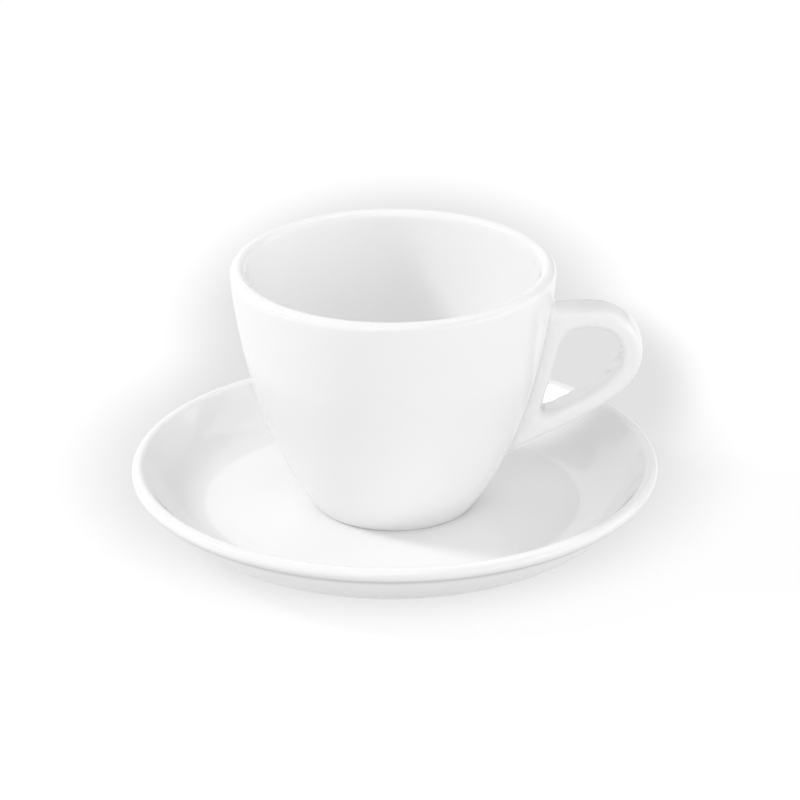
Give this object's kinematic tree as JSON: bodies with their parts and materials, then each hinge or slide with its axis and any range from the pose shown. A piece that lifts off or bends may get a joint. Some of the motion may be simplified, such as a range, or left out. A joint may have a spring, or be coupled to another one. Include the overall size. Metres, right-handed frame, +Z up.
{
  "type": "teacup and saucer",
  "caption": "Thick-walled glazed porcelain cup with an oval strap handle, standing in the shallow well of a dished round saucer; the cup lifts off.",
  "frame": {"origin": "on the common axis of cup and saucer, on the table under the saucer's foot ring", "axes": "+Z up out of the cup's mouth, +X from the axis towards the cup's handle"},
  "size_m": [0.145, 0.145, 0.0765],
  "materials": {
    "glaze": "gloss"
  },
  "bodies": {
    "saucer": {"saucer": "glaze"},
    "cup": {"cup_body": "glaze", "cup_handle": "glaze"}
  },
  "joints": [
    {"name": "cup_lift", "type": "slide", "parent": "saucer", "child": "cup", "axis": [0, 0, 1], "range_m": [0, 0.12]}
  ]
}
